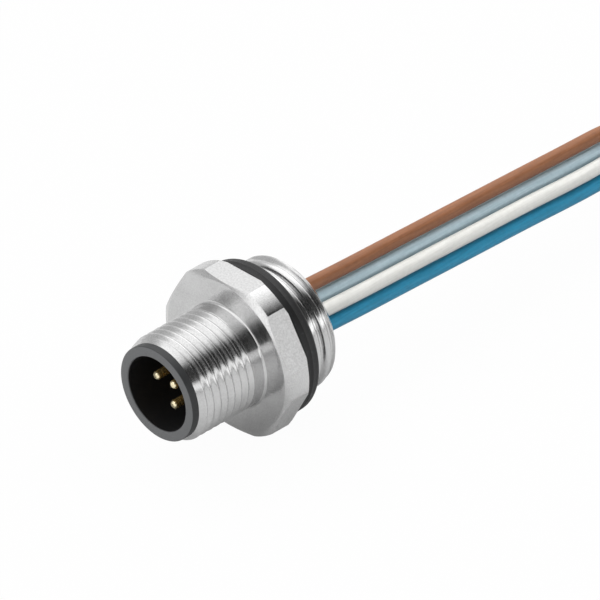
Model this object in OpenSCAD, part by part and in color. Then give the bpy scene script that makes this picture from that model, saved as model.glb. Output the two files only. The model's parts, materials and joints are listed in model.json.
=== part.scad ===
// Panel connector, M12 male with five contacts, a PG9 panel thread and five flying leads.
// The axis lies along Y, the mating end points to -Y and the leads leave to +Y.
// The origin is on the axis, in the flange face that seats on the panel.

/* [Mating sleeve] */
// Major diameter of the mating thread
mate_thread_d = 12; // [11.6:0.1:12.6]
// Distance from one crest of the mating thread to the next
mate_pitch = 1; // [0.75:0.25:1.5]
// Depth of the mating thread
mate_depth = 0.6; // [0.3:0.05:0.65]
// Length of the mating thread, from the sleeve's front edge
mate_thread_l = 7.6; // [6:0.1:8.4]
// Depth of the lead-in chamfer of the mating thread
mate_chamfer = 0.55; // [0.4:0.05:0.6]
// Length of the sleeve in front of the flange
sleeve_l = 9.2; // [8.8:0.1:10]
// Diameter of the plain neck behind the mating thread
neck_d = 11.9; // [11.2:0.1:12.2]
// Fillet between the neck and the flange
neck_fillet = 0.3; // [0.2:0.1:0.6]

/* [Flange] */
// How far the hexagon's flats stand outside the panel thread
flange_rim = 1.4; // [1.1:0.1:2.4]
// How far its turned corners stand outside the flats
corner_rim = 0.6; // [0.4:0.1:1.2]
// Thickness of the flange
flange_t = 3; // [2.5:0.1:4]
// Chamfer of the flange's front edge
flange_chamfer = 0.8; // [0.4:0.1:1.2]

/* [Panel thread] */
// Major diameter of the panel thread
panel_thread_d = 15.2; // [14:0.1:17]
// Distance from one crest of the panel thread to the next
panel_pitch = 1.41; // [1:0.01:1.6]
// Depth of the panel thread
panel_depth = 0.67; // [0.4:0.01:0.8]
// Length behind the flange's seat, thread and seal groove together
panel_thread_l = 6; // [5.5:0.1:10]
// Depth of the chamfer at the rear edge
panel_chamfer = 0.5; // [0.2:0.1:0.7]
// Wall between its crests and the bore that holds the potting
rear_wall = 1.4; // [1.1:0.1:1.6]
// Web left between that bore and the flange's front face
web_t = 0.4; // [0.3:0.1:1]

/* [Sealing ring] */
// Depth of the groove that the ring sits in, from the panel thread's crests
groove_depth = 0.6; // [0.3:0.1:0.8]
// Width of the ring along the axis
seal_w = 2.2; // [1.6:0.1:2.6]
// How far the ring's edge stays inside the hexagon's flats
seal_margin = 0.05; // [0.05:0.05:0.5]
// Rounding of the ring's edges, as a share of its narrower side, so that its flat face clears the thread
seal_edge = 0.36; // [0.35:0.01:0.45]
// Room for the ring in its groove
seal_clearance = 0.1; // [0.05:0.05:0.3]

/* [Contact carrier] */
// Inside diameter of the shroud
shroud_d = 8.6; // [8.4:0.1:8.8]
// Wall of the shroud
shroud_wall = 0.6; // [0.5:0.05:0.65]
// Length of the rim that stands in front of the sleeve
rim_l = 0.9; // [0.6:0.1:1.4]
// Edge chamfer of the rim
rim_chamfer = 0.12; // [0.05:0.01:0.3]
// Depth of the mating cup, from the rim
cup_depth = 8.5; // [8:0.1:9]
// Thickness of the cup's floor
floor_t = 3; // [2.6:0.1:3.4]
// Radial gap between the carrier and the sleeve
carrier_clearance = 0.05; // [0.02:0.01:0.1]
// Width of the coding rib
key_w = 1.2; // [0.8:0.1:1.6]
// Height of the coding rib, in from the shroud's wall
key_h = 0.7; // [0.4:0.1:0.9]
// Distance of the coding rib behind the rim
key_setback = 1; // [0.5:0.1:3]

/* [Contacts] */
// Diameter of a contact pin
pin_d = 1; // [0.8:0.05:1.1]
// Diameter of the circle that the four outer pins stand on
pin_circle_d = 5; // [4.6:0.1:5.4]
// Distance of the pin tips behind the rim
pin_setback = 2.2; // [1.5:0.1:4]
// Rounding of a pin's tip
pin_round = 0.3; // [0.1:0.05:0.35]
// Diameter of a pin where the carrier holds it
shank_d = 1.4; // [1.2:0.1:1.5]
// How far that thicker part stands above the cup's floor
shank_proud = 0.15; // [0.1:0.05:0.4]
// Diameter of the collar that anchors a pin in the carrier
collar_d = 2; // [1.7:0.1:2.2]
// Length of that collar
collar_l = 1; // [0.6:0.1:1.4]
// Outer diameter of the solder cup
cup_d = 1.6; // [1.4:0.1:1.8]
// Length of the solder cup behind the carrier
cup_l = 2.5; // [2:0.1:2.8]
// Depth of the solder cup's hole
cup_hole_l = 2; // [1.2:0.1:2.2]

/* [Potting] */
// Distance of the potting's face inside the rear edge
pot_recess = 0.3; // [0.1:0.1:0.8]

/* [Leads] */
// Diameter of an insulated lead
lead_d = 1.6; // [1.3:0.05:1.6]
// Diameter of a lead's bare conductor
core_d = 0.76; // [0.5:0.02:0.8]
// Radial room for the conductor in its solder cup
core_clearance = 0.04; // [0.02:0.01:0.1]
// Length of insulation that the potting holds
lead_hold = 2.3; // [1.5:0.1:2.4]
// Length stripped at the free end
strip_l = 5; // [3:0.5:8]
// Width of the band round the hank
tie_w = 2.4; // [2:0.1:3]
// Thickness of the band
tie_t = 0.5; // [0.3:0.1:0.5]

/* [Hidden] */
$fn = 64;
cut = 1; // how far a cutting shape runs past what it cuts
arc_steps = 5; // straight pieces in a rounded edge
chamfer_slope = 1.3; // length of the mating thread's chamfer for each mm of its depth
flange_slope = 0.56; // length of the flange's chamfer for each mm of its depth
crest_share = 0.2; // flat crest of a thread, as a share of its pitch
root_share = 0.1; // flat root of a thread, as a share of its pitch
thread_edge = 0.04; // least crest left at each end of a thread

// Places along the axis
y_seat = 0;
y_flange = y_seat - flange_t;
y_sleeve = y_flange - sleeve_l;
y_rim = y_sleeve - rim_l;
y_cup_floor = y_rim + cup_depth;
y_carrier = y_cup_floor + floor_t;
y_pin_tip = y_rim + pin_setback;
y_shank = y_cup_floor - shank_proud;
y_collar = y_cup_floor + (floor_t - collar_l) / 2;
y_cup_end = y_carrier + cup_l;
y_rear = y_seat + panel_thread_l;
y_step = y_flange + web_t;
y_pot = y_rear - pot_recess;
y_lead = y_pot - lead_hold;

// Radii that several pieces share
mate_r = mate_thread_d / 2;
neck_r = neck_d / 2;
panel_r = panel_thread_d / 2;
flat_r = panel_r + flange_rim;
corner_r = flat_r + corner_rim;
groove_r = panel_r - groove_depth;
groove_w = seal_w + seal_clearance;
seal_r = flat_r - seal_margin;
seal_round = seal_edge * min(seal_w, seal_r - groove_r);
carrier_r = shroud_d / 2 + shroud_wall;
rim_r = mate_r - mate_chamfer;
sleeve_bore_r = carrier_r + carrier_clearance;
rear_bore_r = panel_r - rear_wall;
pin_r = pin_d / 2;
shank_r = shank_d / 2;
collar_r = collar_d / 2;
pin_circle_r = pin_circle_d / 2;
cup_r = cup_d / 2;
cup_hole_r = core_d / 2 + core_clearance;
lead_r = lead_d / 2;
core_r = core_d / 2;
floor_z = -flat_r; // surface under the lowest flat
key_angle = 45; // the coding rib stands between contacts 1 and 2

// Contacts, as [x, z] on the pin circle, and the centre one
PINS = [
    [0, pin_circle_r],
    [pin_circle_r, 0],
    [0, -pin_circle_r],
    [-pin_circle_r, 0],
    [0, 0]
];
BROWN = 0;
WHITE = 1;
BLUE = 2;
BLACK = 3;
GREY = 4;

// Places of the leads across their bundle, as [right, up] of its middle:
// where they leave the potting, halfway to the hank, and in the hank
AT_EXIT = [[-0.8, 2.2], [1.3, 0], [1.4, -2], [-2.3, -0.1], [-0.5, 0.4]];
ON_THE_WAY = [[-0.9, 1.6], [1.2, 0.8], [1.6, -1.4], [-2.1, -0.5], [-0.4, -0.2]];
IN_HANK = [[-0.8, 0.7], [0.8, 0.7], [1.6, -0.7], [-1.6, -0.7], [0, -0.7]];

// Route of the bundle's middle after the potting, and how far the leads have
// changed places at each point: 0 as at the exit, 1 on the way, 2 as in the hank
ROUTE = [
    [0, 14, -0.35], [0, 23, -0.7], [0, 32, -1.05], [0, 41, -1.4], [0, 50, -1.75],
    [0.1, 55, -2.1], [1.3, 59.5, -3.3], [3.4, 64, -5.2],
    [5.5, 68, floor_z + 2.3], [6.4, 71.5, floor_z + 1.55], [6.6, 78, floor_z + 1.5]
];
CHANGE = [0, 0, 0, 0, 0, 0.2, 0.6, 1.1, 1.6, 2, 2];

// The hank: a loop of two runs and two round ends, and half a turn on top
hank_y = 79; // start of the runs
hank_run = 24; // length of a run
hank_r = 6.6; // radius of the folds, at the bundle's middle
waist_r = 2.5; // how near the band pulls the runs to the middle line
bundle_w = 4.9; // width of the bundle
layer_h = 3.1; // height of the bundle
tie_y = hank_y + hank_run / 2;
tie_gap = 0.2; // room between the band and the leads
tail_y = tie_y + tie_w / 2 + 1; // where the free ends start
TAIL_END = [109, 100, 94.5, 114, 104]; // where the insulation of each ends

// Points on a quarter circle or less, from one angle to another
function arc(centre, r, from, to, steps = arc_steps) =
    [for (i = [0:steps]) let (a = from + (to - from) * i / steps) centre + r * [cos(a), sin(a)]];

function mix(a, b, t) = a * (1 - t) + b * t;
function unit(v) = v / norm(v);

// A lead's place across the bundle for a stage of its change from exit to hank
function place(i, stage) = stage <= 1
    ? mix(AT_EXIT[i], ON_THE_WAY[i], stage)
    : mix(ON_THE_WAY[i], IN_HANK[i], stage - 1);

// Direction of a path at one of its points, straight along Y at both ends
function heading(path, k) =
    (k == 0 || k == len(path) - 1) ? [0, 1, 0] : unit(path[k + 1] - path[k - 1]);

// The point right and up of a path's point, seen along the path
function beside(path, k, offset) =
    let (t = heading(path, k), side = unit(cross(t, [0, 0, 1])), up = cross(side, t))
    path[k] + side * offset[0] + up * offset[1];

// A lead from inside the potting to the hank
function lead_path(i) =
    let (exit = AT_EXIT[i])
    concat(
        [[exit[0], y_lead, exit[1]], [exit[0], y_pot, exit[1]]],
        [for (k = [0:len(ROUTE) - 1]) beside(ROUTE, k, place(i, CHANGE[k]))]
    );

// Place of a lead's free end across the hank: held by the band, on top of the first layer
function tail_at(i) = [
    waist_r + IN_HANK[i][0],
    floor_z + layer_h + (tie_t + lead_d) / 2 + IN_HANK[i][1] - IN_HANK[GREY][1]
];

// A conductor from the solder cup's floor to the cut end of its insulation
function core_path(i) =
    let (pin = PINS[i], exit = AT_EXIT[i])
    [
        [pin[0], y_cup_end - cup_hole_l, pin[1]],
        [pin[0], y_cup_end + core_r, pin[1]],
        [exit[0], y_lead - core_r, exit[1]],
        [exit[0], y_lead, exit[1]]
    ];

// A closed tube along a path, with flat ends across Y
module tube(path, r, sides = 8) {
    rings = [
        for (k = [0:len(path) - 1], a = [0:sides - 1])
        beside(path, k, r * [cos(360 * a / sides), sin(360 * a / sides)])
    ];
    last = (len(path) - 1) * sides;
    walls = [
        for (k = [0:len(path) - 2], a = [0:sides - 1])
        let (b = (a + 1) % sides, p = k * sides, q = p + sides)
        [p + a, p + b, q + b, q + a]
    ];
    front = [[for (a = [sides - 1:-1:0]) a]];
    back = [[for (a = [0:sides - 1]) last + a]];
    polyhedron(points = rings, faces = concat(walls, front, back), convexity = 6);
}

// Turns a shape built up Z so that it runs back along the axis from y
module along_axis(y = 0) {
    translate([0, y, 0]) rotate([-90, 0, 0]) children();
}

// A plain cylinder along the axis at [x, z], between two places
module rod(at, r, from, to) {
    translate([at[0], 0, at[1]]) along_axis(from) cylinder(r = r, h = to - from);
}

// Outline of a thread's turns between two places, each turn drawn as a ring
function thread_rows(r, depth, pitch, from, to) =
    let (
        crest = crest_share * pitch,
        root = root_share * pitch,
        flank = (pitch - crest - root) / 2,
        turns = floor((to - from + crest - 2 * thread_edge) / pitch),
        start = (from + to + crest - turns * pitch) / 2,
        groove = [[0, 0], [flank, depth], [flank + root, depth], [2 * flank + root, 0]]
    )
    [for (k = [0:1:turns - 1], p = groove) [r - p[1], start + k * pitch + p[0]]];

module housing() {
    thread_start = y_sleeve + mate_chamfer * chamfer_slope;
    thread_end = y_sleeve + mate_thread_l;
    panel_start = y_seat + groove_w;
    panel_end = y_rear - panel_chamfer;
    run_out = abs(mate_r - neck_r);
    boss_r = flat_r - flange_chamfer;
    turned = concat(
        [[0, y_sleeve], [rim_r, y_sleeve], [mate_r, thread_start]],
        thread_rows(mate_r, mate_depth, mate_pitch, thread_start, thread_end),
        [[mate_r, thread_end], [neck_r, thread_end + run_out]],
        arc([neck_r + neck_fillet, y_flange - neck_fillet], neck_fillet, 180, 90),
        [
            [boss_r, y_flange], [boss_r, y_seat], [groove_r, y_seat],
            [groove_r, panel_start], [panel_r, panel_start]
        ],
        thread_rows(panel_r, panel_depth, panel_pitch, panel_start, panel_end),
        [[panel_r, panel_end], [panel_r - panel_chamfer, y_rear], [0, y_rear]]
    );
    hexagon_r = flat_r / cos(30);
    blank = [
        [0, y_flange], [corner_r - flange_chamfer, y_flange],
        [corner_r, y_flange + flange_chamfer * flange_slope],
        [corner_r, y_seat], [0, y_seat]
    ];
    color("silver") difference() {
        union() {
            along_axis() rotate_extrude() polygon(turned);
            intersection() {
                along_axis(y_flange) cylinder(r = hexagon_r, h = flange_t, $fn = 6);
                along_axis() rotate_extrude() polygon(blank);
            }
        }
        rod([0, 0], sleeve_bore_r, y_sleeve - cut, y_rear);
        rod([0, 0], rear_bore_r, y_step, y_rear + cut);
    }
}

module sealing_ring() {
    profile = concat(
        arc([groove_r + seal_round, y_seat + seal_round], seal_round, 180, 270),
        arc([seal_r - seal_round, y_seat + seal_round], seal_round, 270, 360),
        arc([seal_r - seal_round, y_seat + seal_w - seal_round], seal_round, 0, 90),
        arc([groove_r + seal_round, y_seat + seal_w - seal_round], seal_round, 90, 180)
    );
    color("dimgray") along_axis() rotate_extrude() polygon(profile);
}

module contact_carrier() {
    outline = [
        [0, y_rim], [rim_r - rim_chamfer, y_rim], [rim_r, y_rim + rim_chamfer], [rim_r, y_sleeve],
        [carrier_r, y_sleeve], [carrier_r, y_carrier], [0, y_carrier]
    ];
    wall_r = shroud_d / 2;
    rib_l = y_cup_floor - y_rim - key_setback;
    color([0.16, 0.17, 0.18]) {
        difference() {
            along_axis() rotate_extrude() polygon(outline);
            rod([0, 0], wall_r, y_rim - cut, y_cup_floor);
            for (pin = PINS) {
                rod(pin, shank_r, y_cup_floor - cut, y_carrier + cut);
                rod(pin, collar_r, y_collar, y_collar + collar_l);
            }
        }
        rotate([0, -key_angle, 0])
            translate([wall_r - key_h, y_rim + key_setback, -key_w / 2])
                cube([key_h + shroud_wall / 2, rib_l, key_w]);
    }
}

module contact_pin(i) {
    profile = concat(
        [[0, y_pin_tip]],
        arc([pin_r - pin_round, y_pin_tip + pin_round], pin_round, 270, 360),
        [
            [pin_r, y_shank], [shank_r, y_shank], [shank_r, y_collar], [collar_r, y_collar],
            [collar_r, y_collar + collar_l], [shank_r, y_collar + collar_l], [shank_r, y_carrier],
            [cup_r, y_carrier], [cup_r, y_cup_end],
            [cup_hole_r, y_cup_end], [cup_hole_r, y_cup_end - cup_hole_l], [0, y_cup_end - cup_hole_l]
        ]
    );
    pin = PINS[i];
    color("gold") translate([pin[0], 0, pin[1]]) along_axis() rotate_extrude() polygon(profile);
}

module potting() {
    color([0.12, 0.12, 0.13]) difference() {
        rod([0, 0], rear_bore_r, y_step, y_pot);
        rod([0, 0], carrier_r, y_step - cut, y_carrier);
        for (i = [BROWN:GREY]) {
            rod(PINS[i], cup_r, y_carrier - cut, y_cup_end);
            tube(core_path(i), core_r);
            rod(AT_EXIT[i], lead_r, y_lead, y_pot + cut);
        }
    }
}

module core(i) {
    color("peru") tube(core_path(i), core_r);
}

module lead(i, colour) {
    color(colour) {
        tube(lead_path(i), lead_r);
        rod(tail_at(i), lead_r, tail_y, TAIL_END[i]);
    }
}

module tip(i) {
    color("lightgray") rod(tail_at(i), core_r, TAIL_END[i], TAIL_END[i] + strip_l);
}

// Half the width of the hank at a place along its runs
function hank_half(y) =
    hank_r - (hank_r - waist_r) * (1 + cos(360 * (y - tie_y) / hank_run)) / 2 + bundle_w / 2;

module hank_outline() {
    steps = 24;
    side = [for (k = [0:steps]) let (y = hank_y + hank_run * k / steps) [hank_half(y), y]];
    other = [for (k = [steps:-1:0]) [-side[k][0], side[k][1]]];
    end_r = hank_r + bundle_w / 2;
    polygon(concat(
        side, arc([0, hank_y + hank_run], end_r, 15, 165, 10),
        other, arc([0, hank_y], end_r, 195, 345, 10)
    ));
}

module lead_hank() {
    end_r = hank_r + bundle_w / 2;
    entry_y = ROUTE[len(ROUTE) - 1][1];
    color([0.5, 0.42, 0.36]) translate([0, 0, floor_z]) difference() {
        union() {
            linear_extrude(layer_h) hank_outline();
            // the last half turn lies on the first
            linear_extrude(2 * layer_h + tie_t) intersection() {
                hank_outline();
                union() {
                    translate([-end_r / 2, hank_y - end_r]) square([1.5 * end_r, end_r]);
                    translate([0, hank_y]) square([end_r, tail_y - hank_y]);
                }
            }
        }
        // room for the leads that come in below
        translate([0, hank_y - end_r - cut, -cut])
            cube([end_r + cut, entry_y - hank_y + end_r + cut, layer_h + cut]);
        // room for the band below
        translate([-end_r, tie_y - tie_w / 2, -cut]) cube([2 * end_r, tie_w, tie_t + cut]);
    }
}

module hank_tie() {
    x = waist_r + bundle_w / 2 + tie_gap;
    low = layer_h + 2 * tie_t;
    high = 2 * layer_h + tie_t + tie_gap;
    inside = [[-x, tie_t], [x, tie_t], [x, high], [0, high], [-x, low]];
    outside = [
        [-x - tie_t, 0], [x + tie_t, 0], [x + tie_t, high + tie_t], [-tie_t / 3, high + tie_t],
        [-x - tie_t, low + tie_t / 2]
    ];
    color([0.1, 0.1, 0.1]) translate([0, tie_y + tie_w / 2, floor_z]) rotate([90, 0, 0])
        linear_extrude(tie_w) difference() {
            polygon(outside);
            polygon(inside);
        }
}

housing();
sealing_ring();
contact_carrier();
contact_pin(BROWN);  // pin_1
contact_pin(WHITE);  // pin_2
contact_pin(BLUE);  // pin_3
contact_pin(BLACK);  // pin_4
contact_pin(GREY);  // pin_5
potting();
core(BROWN);  // core_brown
core(WHITE);  // core_white
core(BLUE);  // core_blue
core(BLACK);  // core_black
core(GREY);  // core_grey
lead(BROWN, [0.5, 0.34, 0.24]);  // lead_brown
lead(WHITE, [0.85, 0.85, 0.84]);  // lead_white
lead(BLUE, [0.2, 0.48, 0.6]);  // lead_blue
lead(BLACK, [0.12, 0.12, 0.13]);  // lead_black
lead(GREY, [0.6, 0.66, 0.7]);  // lead_grey
tip(BROWN);  // tip_brown
tip(WHITE);  // tip_white
tip(BLUE);  // tip_blue
tip(BLACK);  // tip_black
tip(GREY);  // tip_grey
lead_hank();
hank_tie();
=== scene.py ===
"""Looks of an M12 panel connector with five flying leads.

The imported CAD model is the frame. Every piece of the object is modelled over its CAD node, in the same
place, and gets the finish of the real part. Shapes are modelled in millimetres and handed over in metres.
The connector's axis is +Y with the mating face towards -Y, the panel's seat is at y = 0 and +Z is up.
"""

import json
import logging
import math
from collections.abc import Callable, Sequence
from dataclasses import dataclass
from enum import Enum
from functools import cached_property

import bmesh
import bpy
from mathutils import Matrix, Vector

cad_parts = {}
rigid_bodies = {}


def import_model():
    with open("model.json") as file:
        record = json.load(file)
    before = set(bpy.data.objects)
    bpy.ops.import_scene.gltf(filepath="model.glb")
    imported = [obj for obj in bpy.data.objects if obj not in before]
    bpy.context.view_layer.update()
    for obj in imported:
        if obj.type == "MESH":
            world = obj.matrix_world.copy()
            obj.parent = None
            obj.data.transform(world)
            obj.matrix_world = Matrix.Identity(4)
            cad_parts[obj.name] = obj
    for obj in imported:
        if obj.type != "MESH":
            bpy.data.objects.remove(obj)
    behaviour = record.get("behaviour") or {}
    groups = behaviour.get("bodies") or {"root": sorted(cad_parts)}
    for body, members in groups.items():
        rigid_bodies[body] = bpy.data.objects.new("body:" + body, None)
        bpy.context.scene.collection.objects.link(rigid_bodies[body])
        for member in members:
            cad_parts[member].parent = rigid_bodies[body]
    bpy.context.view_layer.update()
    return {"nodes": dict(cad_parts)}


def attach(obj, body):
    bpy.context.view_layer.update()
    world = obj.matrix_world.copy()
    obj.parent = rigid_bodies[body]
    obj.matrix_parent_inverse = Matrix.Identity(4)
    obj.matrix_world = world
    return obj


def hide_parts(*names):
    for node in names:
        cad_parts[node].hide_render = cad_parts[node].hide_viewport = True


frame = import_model()

log = logging.getLogger("panel_connector")

MM = 0.001
TURN = 2 * math.pi
UP = Vector((0, 0, 1))
FLOOR_Z = -9.0
MERGE = 1e-4  # vertices nearer than this are one
NEAR = 1e-3  # a point nearer than this is on a plane
RING_SLACK = 0.1  # a point nearer than this to a ring's radius is on the ring
WHITE = (1.0, 1.0, 1.0, 1.0)

Pair = tuple[float, float]
Point = tuple[float, float, float]
Colour = tuple[float, float, float, float]
Socket = bpy.types.NodeSocket
Source = Socket | bpy.types.Node


# The bench: shapes are modelled step by step, in millimetres


class Pick(Enum):
    """What an edit step selects."""

    VERTS = "VERT"
    EDGES = "EDGE"
    FACES = "FACE"


class Cut(Enum):
    """What one shape does to another."""

    ADD = "UNION"
    TAKE_OFF = "DIFFERENCE"
    KEEP_COMMON = "INTERSECT"


def clear_selection() -> None:
    """Deselect every object."""
    for obj in bpy.context.view_layer.objects:
        obj.select_set(False)


def from_axis(co: Vector) -> float:
    """Distance of a point from the Y axis."""
    return math.hypot(co.x, co.z)


def on_ring(co: Vector, radius: float, y: float) -> Vector:
    """Put a point on a ring round the Y axis, at the angle that it has."""
    share = radius / from_axis(co)
    return Vector((co.x * share, y, co.z * share))


def near_ring(co: Vector, radius: float, y: float) -> bool:
    """Whether a point is near a ring round the Y axis."""
    return abs(co.y - y) < 2 * NEAR and abs(from_axis(co) - radius) < RING_SLACK


def part_way(value: float, start: float, end: float) -> float:
    """How far a value has come from start to end, from 0 to 1."""
    return min(max((value - start) / (end - start), 0.0), 1.0)


def arc(centre: Pair, radius: float, start: float, end: float, steps: int) -> list[Pair]:
    """Points of an arc in an outline; its angles are in degrees from the radius towards +Y."""
    turns = [math.radians(start + (end - start) * k / steps) for k in range(steps + 1)]
    return [(centre[0] + radius * math.cos(a), centre[1] + radius * math.sin(a)) for a in turns]


def link(obj: bpy.types.Object) -> bpy.types.Object:
    """Put a new object into the scene and hand it back."""
    bpy.context.scene.collection.objects.link(obj)
    return obj


def dress(obj: bpy.types.Object, material: bpy.types.Material) -> None:
    """Give an object one material."""
    obj.data.materials.clear()
    obj.data.materials.append(material)


class Shape:
    """One mesh on the bench, in millimetres, shaped step by step."""

    def __init__(self, obj: bpy.types.Object) -> None:
        """Take an object onto the bench."""
        self.obj = obj

    @classmethod
    def start(cls, name: str, add: Callable[..., object], **settings: object) -> "Shape":
        """Add a primitive, name it, and put its place, turn and size into its mesh.

        Args:
            name: The piece's name.
            add: The operator that adds the primitive.
            **settings: The operator's settings.

        Returns:
            The new shape, in object mode.
        """
        clear_selection()
        add(**settings)
        shape = cls(bpy.context.active_object)
        shape.obj.name = shape.obj.data.name = name
        bpy.ops.object.transform_apply(location=True, rotation=True, scale=True)
        return shape

    @classmethod
    def line(cls, name: str, points: Sequence[Point]) -> "Shape":
        """Draw a line by extruding a plane, merged to a point, on and on.

        Args:
            name: The piece's name.
            points: The line's points.

        Returns:
            The line as a shape, in object mode.
        """
        shape = cls.start(name, bpy.ops.mesh.primitive_plane_add, size=1.0)
        shape.edit(Pick.VERTS)
        bpy.ops.mesh.merge(type="CENTER")
        bpy.ops.transform.translate(value=points[0])
        for a, b in zip(points, points[1:]):
            step = tuple(q - p for p, q in zip(a, b))
            bpy.ops.mesh.extrude_vertices_move(TRANSFORM_OT_translate={"value": step})
        shape.leave()
        return shape

    @classmethod
    def turned(cls, name: str, outline: Sequence[Pair], steps: int) -> "Shape":
        """Turn an outline round the Y axis, as on a lathe.

        Args:
            name: The piece's name.
            outline: Radius and y of each point; a closed outline ends with its first one.
            steps: How many steps make the full turn.

        Returns:
            The turned shape, in object mode.
        """
        shape = cls.line(name, [(r, y, 0.0) for r, y in outline])
        shape.edit(Pick.VERTS)
        bpy.ops.mesh.spin(steps=steps, angle=TURN, center=(0, 0, 0), axis=(0, 1, 0))
        shape.heal()
        return shape

    def select_only(self) -> None:
        """Make this the only selected and active object."""
        clear_selection()
        self.obj.select_set(True)
        bpy.context.view_layer.objects.active = self.obj

    def edit(self, kind: Pick, test: Callable[[object], bool] = lambda part: True) -> None:
        """Go to edit mode and select what passes a test.

        Args:
            kind: Whether vertices, edges or faces are tested.
            test: Says whether an element is selected.
        """
        if self.obj.mode != "EDIT":
            self.select_only()
            bpy.ops.object.mode_set(mode="EDIT")
        bpy.ops.mesh.select_mode(type=kind.value)
        bpy.ops.mesh.select_all(action="DESELECT")
        mesh = bmesh.from_edit_mesh(self.obj.data)
        for part in {Pick.VERTS: mesh.verts, Pick.EDGES: mesh.edges, Pick.FACES: mesh.faces}[kind]:
            if test(part):
                part.select_set(True)
        mesh.select_flush_mode()
        bmesh.update_edit_mesh(self.obj.data)

    def edit_open_edge(self, y: float) -> None:
        """Go to edit mode and select the open edge that lies at y."""
        self.edit(Pick.EDGES, lambda e: e.is_boundary and all(abs(v.co.y - y) < NEAR for v in e.verts))

    def place_picked(self, move: Callable[[Vector], Vector]) -> None:
        """Move the selected vertices in edit mode.

        Args:
            move: Gives each vertex its new place.
        """
        for vert in bmesh.from_edit_mesh(self.obj.data).verts:
            if vert.select:
                vert.co = move(vert.co)
        bmesh.update_edit_mesh(self.obj.data)

    def rings_on(self, *rings: Pair) -> None:
        """Extrude the selected round edge from ring to ring, in edit mode.

        Args:
            *rings: Radius and y of each ring.
        """
        for radius, y in rings:
            bpy.ops.mesh.extrude_region_move(TRANSFORM_OT_translate={"value": (0, 0, 0)})
            self.place_picked(lambda co, radius=radius, y=y: on_ring(co, radius, y))

    def close_flat(self, y: float, *radii: float) -> None:
        """Close the flat gap at y between the open round edges of these radii, in edit mode."""
        self.edit(
            Pick.EDGES,
            lambda e: e.is_boundary and any(all(near_ring(v.co, r, y) for v in e.verts) for r in radii),
        )
        bpy.ops.mesh.fill(use_beauty=True)

    def heal(self) -> None:
        """Merge doubles and turn all faces outwards, then leave edit mode."""
        bpy.ops.mesh.select_all(action="SELECT")
        bpy.ops.mesh.remove_doubles(threshold=MERGE)
        bpy.ops.mesh.dissolve_degenerate(threshold=MERGE / 10)
        bpy.ops.mesh.select_all(action="SELECT")
        bpy.ops.mesh.normals_make_consistent(inside=False)
        self.leave()

    def leave(self) -> None:
        """Go back to object mode."""
        bpy.ops.object.mode_set(mode="OBJECT")

    def modify(self, kind: str, **settings: object) -> None:
        """Add a modifier and apply it.

        Args:
            kind: The modifier's type.
            **settings: Its settings.
        """
        self.select_only()
        modifier = self.obj.modifiers.new(kind.lower(), kind)
        for name, value in settings.items():
            setattr(modifier, name, value)
        bpy.ops.object.modifier_apply(modifier=modifier.name)

    def break_edges(self, width: float, segments: int, angle: float = 30.0) -> None:
        """Bevel the edges that are sharper than an angle in degrees."""
        limit = math.radians(angle)
        self.modify("BEVEL", width=width, segments=segments, limit_method="ANGLE", angle_limit=limit)

    def cut(self, other: "Shape", operation: Cut) -> None:
        """Cut this shape with another one, which is used up."""
        self.modify("BOOLEAN", object=other.obj, operation=operation.value, solver="EXACT")
        other.scrap()

    def scrap(self) -> None:
        """Remove this shape."""
        bpy.data.objects.remove(self.obj, do_unlink=True)

    def copy(self, name: str, move: Matrix) -> "Shape":
        """Copy this shape with a mesh of its own.

        Args:
            name: The copy's name.
            move: Where the copy goes.

        Returns:
            The copy.
        """
        obj = link(self.obj.copy())
        obj.data = self.obj.data.copy()
        obj.name = obj.data.name = name
        obj.data.transform(move)
        return Shape(obj)

    def join(self, *others: "Shape") -> None:
        """Join other shapes into this one.

        Args:
            *others: The shapes, which are used up.
        """
        self.select_only()
        for other in others:
            other.obj.select_set(True)
        bpy.ops.object.join()

    def finish(
        self, node: str, slot: str, material: bpy.types.Material, smooth: float, even: bool = False
    ) -> bpy.types.Object:
        """Hand the piece over in metres, riding on its body, and dress it.

        Args:
            node: The CAD node that it stands for.
            slot: The record's material slot; it is not used.
            material: Its finish.
            smooth: Edges sharper than this many degrees stay sharp.
            even: Whether large flats pull the shading of their edges flat.

        Returns:
            The finished object.
        """
        self.obj.data.transform(Matrix.Scale(MM, 4))
        self.select_only()
        bpy.ops.object.shade_smooth_by_angle(angle=math.radians(smooth))
        if even:
            self.modify("WEIGHTED_NORMAL", mode="FACE_AREA", weight=80, keep_sharp=True)
        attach(self.obj, "root")
        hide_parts(node)
        dress(self.obj, material)
        clear_selection()
        return self.obj


# Camera


@dataclass(frozen=True)
class Viewpoint:
    """The photograph's viewpoint: a long lens, so that parallel edges stay parallel."""

    towards: Point = (0.608, -0.565, 0.558)
    roll: float = math.radians(2.2)
    frame_width: float = 62.76 * MM
    distance: float = 2.0
    sensor: float = 36.0
    shift_right: float = 5.544 * MM
    shift_up: float = 4.487 * MM

    def place(self) -> None:
        """Create the camera and make it the scene's."""
        back = Vector(self.towards).normalized()
        level = (-back).cross(UP).normalized()
        rise = level.cross(-back)
        right = level * math.cos(self.roll) - rise * math.sin(self.roll)
        up = level * math.sin(self.roll) + rise * math.cos(self.roll)
        data = bpy.data.cameras.new("photo_camera")
        data.type = "PERSP"
        data.sensor_width = self.sensor
        data.lens = self.sensor * self.distance / self.frame_width
        data.clip_start, data.clip_end = self.distance / 20, self.distance * 10
        camera = link(bpy.data.objects.new("photo_camera", data))
        centre = right * self.shift_right + up * self.shift_up + back * self.distance
        camera.matrix_world = Matrix.Translation(centre) @ Matrix((right, up, back)).transposed().to_4x4()
        bpy.context.scene.camera = camera


# Finishes


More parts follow.
